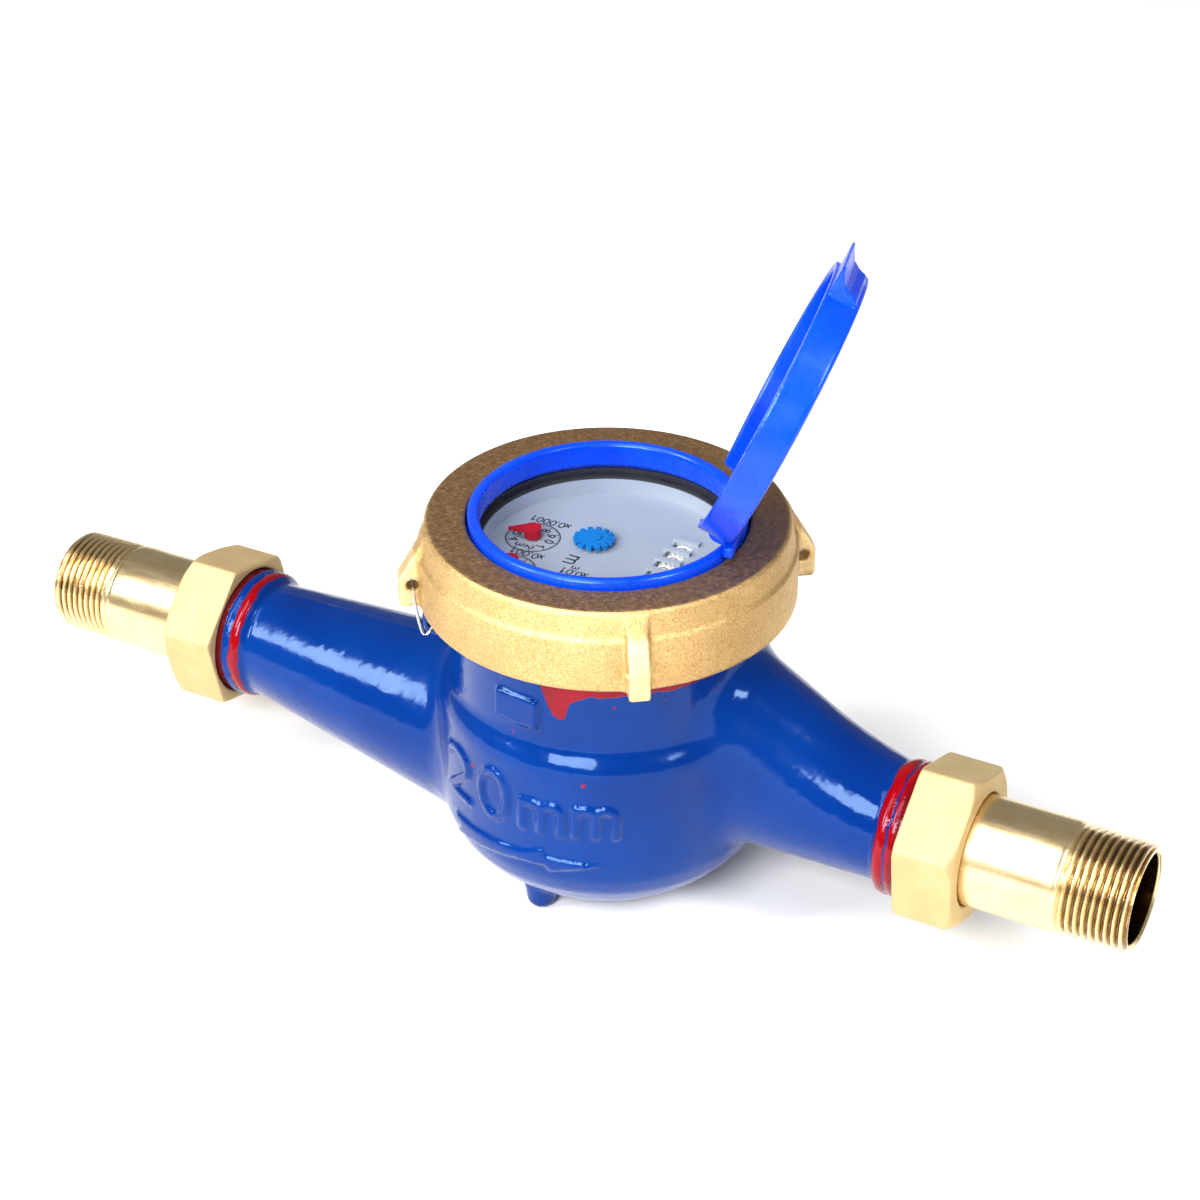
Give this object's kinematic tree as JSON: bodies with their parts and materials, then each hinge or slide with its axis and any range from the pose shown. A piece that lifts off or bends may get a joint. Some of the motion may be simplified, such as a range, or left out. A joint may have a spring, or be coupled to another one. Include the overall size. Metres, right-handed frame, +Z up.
{
  "type": "water meter",
  "caption": "Multi-jet cold water meter: blue cast body between screwed brass couplings, brass ring, dial under glass with red pointers and a hinged blue lid.",
  "frame": {"origin": "on the plane of the three feet, half way between the two thread ends; the register axis is 11 mm towards the outlet", "axes": "+X along the pipe from inlet to outlet, +Z up along the register axis, +Y to the back"},
  "size_m": [0.299, 0.0908, 0.1735],
  "materials": {
    "blue_paint": "thick gloss blue enamel on the casting",
    "polished_brass": "turned and polished pale brass",
    "cast_brass": "sand-cast brass, machined top face",
    "black_rubber": "plain black rubber",
    "blue_plastic": "slightly translucent bright blue moulding",
    "steel": "plain wire and pin steel",
    "clear_glass": "clear flat lens",
    "dial_white": "white printed dial",
    "case_plastic": "dark moulded case",
    "gear_plastic": "natural acetal",
    "chamber_plastic": "moulded wet-side plastic",
    "star_blue": "sky-blue moulding",
    "pointer_red": "crimson moulding",
    "drum_white": "white number drum",
    "magnet": "grey ferrite ring",
    "bush": "dark red bearing bush"
  },
  "bodies": {
    "meter": {"meter_body": "blue_paint", "inlet_nut": "polished_brass", "outlet_nut": "polished_brass", "inlet_tail": "polished_brass", "outlet_tail": "polished_brass", "inlet_gasket": "black_rubber", "outlet_gasket": "black_rubber", "top_ring": "cast_brass", "cover_ring": "blue_plastic", "hinge_pin": "steel", "seal_wire": "steel", "glass": "clear_glass", "lens_gasket": "black_rubber", "dial_plate": "dial_white", "register_case": "case_plastic", "pressure_plate": "cast_brass", "register_seal": "black_rubber", "lower_plate": "gear_plastic", "upper_plate": "gear_plastic", "movement_pillars": "polished_brass", "drum_frame": "gear_plastic", "drum_shaft": "steel", "carry_shaft": "steel", "strainer": "chamber_plastic", "measuring_chamber": "chamber_plastic", "chamber_cover": "chamber_plastic", "pivot_pin": "steel"},
    "cover_lid": {"lid": "blue_plastic"},
    "impeller_set": {"impeller": "chamber_plastic", "impeller_bush": "bush", "driving_magnet": "magnet"},
    "drive_set": {"drive_arbor": "gear_plastic", "driven_magnet": "magnet"},
    "star_set": {"star_arbor": "gear_plastic", "star_wheel": "star_blue"},
    "idler_s_set": {"idler_s": "gear_plastic"},
    "idler_43_set": {"idler_43": "gear_plastic"},
    "idler_32_set": {"idler_32": "gear_plastic"},
    "idler_21_set": {"idler_21": "gear_plastic"},
    "pointer_4_set": {"pointer_arbor_4": "gear_plastic", "pointer_4": "pointer_red"},
    "pointer_3_set": {"pointer_arbor_3": "gear_plastic", "pointer_3": "pointer_red"},
    "pointer_2_set": {"pointer_arbor_2": "gear_plastic", "pointer_2": "pointer_red"},
    "pointer_1_set": {"pointer_arbor_1": "gear_plastic", "pointer_1": "pointer_red"},
    "drum_1_set": {"drum_1": "drum_white"},
    "drum_2_set": {"drum_2": "drum_white"},
    "drum_3_set": {"drum_3": "drum_white"},
    "drum_4_set": {"drum_4": "drum_white"},
    "drum_5_set": {"drum_5": "drum_white"},
    "carry_1_set": {"carry_pinion_1": "gear_plastic"},
    "carry_2_set": {"carry_pinion_2": "gear_plastic"},
    "carry_3_set": {"carry_pinion_3": "gear_plastic"},
    "carry_4_set": {"carry_pinion_4": "gear_plastic"}
  },
  "joints": [
    {"name": "lid_hinge", "type": "hinge", "parent": "meter", "child": "cover_lid", "pos_m": [0.03962, 0.00714, 0.1076], "axis": [-0.2419, 0.9703, 0], "range_deg": [-114, 0]},
    {"name": "impeller_spin", "type": "hinge", "parent": "meter", "child": "impeller_set", "pos_m": [0.011, 0, 0.036], "axis": [0, 0, 1], "continuous": true},
    {"name": "drive_spin", "type": "hinge", "parent": "meter", "child": "drive_set", "pos_m": [0.011, 0, 0.076], "axis": [0, 0, 1], "continuous": true},
    {"name": "star_spin", "type": "hinge", "parent": "meter", "child": "star_set", "pos_m": [0.0054, 0.0035, 0.076], "axis": [0, 0, 1], "continuous": true},
    {"name": "idler_s_spin", "type": "hinge", "parent": "meter", "child": "idler_s_set", "pos_m": [-0.00285, 0.00504, 0.076], "axis": [0, 0, 1], "continuous": true},
    {"name": "pointer_4_spin", "type": "hinge", "parent": "meter", "child": "pointer_4_set", "pos_m": [-0.00899, -0.0007, 0.076], "axis": [0, 0, 1], "continuous": true},
    {"name": "idler_43_spin", "type": "hinge", "parent": "meter", "child": "idler_43_set", "pos_m": [-0.00864, -0.00849, 0.076], "axis": [0, 0, 1], "continuous": true},
    {"name": "pointer_3_spin", "type": "hinge", "parent": "meter", "child": "pointer_3_set", "pos_m": [-0.00699, -0.0155, 0.076], "axis": [0, 0, 1], "continuous": true},
    {"name": "idler_32_spin", "type": "hinge", "parent": "meter", "child": "idler_32_set", "pos_m": [-0.0001, -0.01915, 0.076], "axis": [0, 0, 1], "continuous": true},
    {"name": "pointer_2_spin", "type": "hinge", "parent": "meter", "child": "pointer_2_set", "pos_m": [0.00701, -0.018, 0.076], "axis": [0, 0, 1], "continuous": true},
    {"name": "idler_21_spin", "type": "hinge", "parent": "meter", "child": "idler_21_set", "pos_m": [0.01475, -0.01897, 0.076], "axis": [0, 0, 1], "continuous": true},
    {"name": "pointer_1_spin", "type": "hinge", "parent": "meter", "child": "pointer_1_set", "pos_m": [0.02151, -0.0165, 0.076], "axis": [0, 0, 1], "continuous": true},
    {"name": "drum_1_spin", "type": "hinge", "parent": "meter", "child": "drum_1_set", "pos_m": [0.025, 0, 0.0839], "axis": [0, 1, 0], "continuous": true},
    {"name": "drum_2_spin", "type": "hinge", "parent": "meter", "child": "drum_2_set", "pos_m": [0.025, 0, 0.0839], "axis": [0, 1, 0], "continuous": true},
    {"name": "drum_3_spin", "type": "hinge", "parent": "meter", "child": "drum_3_set", "pos_m": [0.025, 0, 0.0839], "axis": [0, 1, 0], "continuous": true},
    {"name": "drum_4_spin", "type": "hinge", "parent": "meter", "child": "drum_4_set", "pos_m": [0.025, 0, 0.0839], "axis": [0, 1, 0], "continuous": true},
    {"name": "drum_5_spin", "type": "hinge", "parent": "meter", "child": "drum_5_set", "pos_m": [0.025, 0, 0.0839], "axis": [0, 1, 0], "continuous": true},
    {"name": "carry_1_spin", "type": "hinge", "parent": "meter", "child": "carry_1_set", "pos_m": [0.03026, 0, 0.08198], "axis": [0, 1, 0], "continuous": true},
    {"name": "carry_2_spin", "type": "hinge", "parent": "meter", "child": "carry_2_set", "pos_m": [0.03026, 0, 0.08198], "axis": [0, 1, 0], "continuous": true},
    {"name": "carry_3_spin", "type": "hinge", "parent": "meter", "child": "carry_3_set", "pos_m": [0.03026, 0, 0.08198], "axis": [0, 1, 0], "continuous": true},
    {"name": "carry_4_spin", "type": "hinge", "parent": "meter", "child": "carry_4_set", "pos_m": [0.03026, 0, 0.08198], "axis": [0, 1, 0], "continuous": true}
  ],
  "couplings": [
    {"joint": "drive_spin", "follows": "impeller_spin", "ratio": 1},
    {"joint": "star_spin", "follows": "impeller_spin", "ratio": -0.32},
    {"joint": "idler_s_spin", "follows": "impeller_spin", "ratio": 0.087273},
    {"joint": "pointer_4_spin", "follows": "impeller_spin", "ratio": -0.023802},
    {"joint": "idler_43_spin", "follows": "impeller_spin", "ratio": 0.0071405},
    {"joint": "pointer_3_spin", "follows": "impeller_spin", "ratio": -0.0023802},
    {"joint": "idler_32_spin", "follows": "impeller_spin", "ratio": 0.00071405},
    {"joint": "pointer_2_spin", "follows": "impeller_spin", "ratio": -0.00023802},
    {"joint": "idler_21_spin", "follows": "impeller_spin", "ratio": 0.000071405},
    {"joint": "pointer_1_spin", "follows": "impeller_spin", "ratio": -0.000023802},
    {"joint": "drum_1_spin", "follows": "impeller_spin", "ratio": -0.0000023802},
    {"joint": "drum_2_spin", "follows": "impeller_spin", "ratio": -0.00000023802},
    {"joint": "drum_3_spin", "follows": "impeller_spin", "ratio": -0.000000023802},
    {"joint": "drum_4_spin", "follows": "impeller_spin", "ratio": -0.0000000023802},
    {"joint": "drum_5_spin", "follows": "impeller_spin", "ratio": -0.00000000023802},
    {"joint": "carry_1_spin", "follows": "impeller_spin", "ratio": 0.00000059504},
    {"joint": "carry_2_spin", "follows": "impeller_spin", "ratio": 0.000000059504},
    {"joint": "carry_3_spin", "follows": "impeller_spin", "ratio": 0.0000000059504},
    {"joint": "carry_4_spin", "follows": "impeller_spin", "ratio": 0.00000000059504}
  ]
}
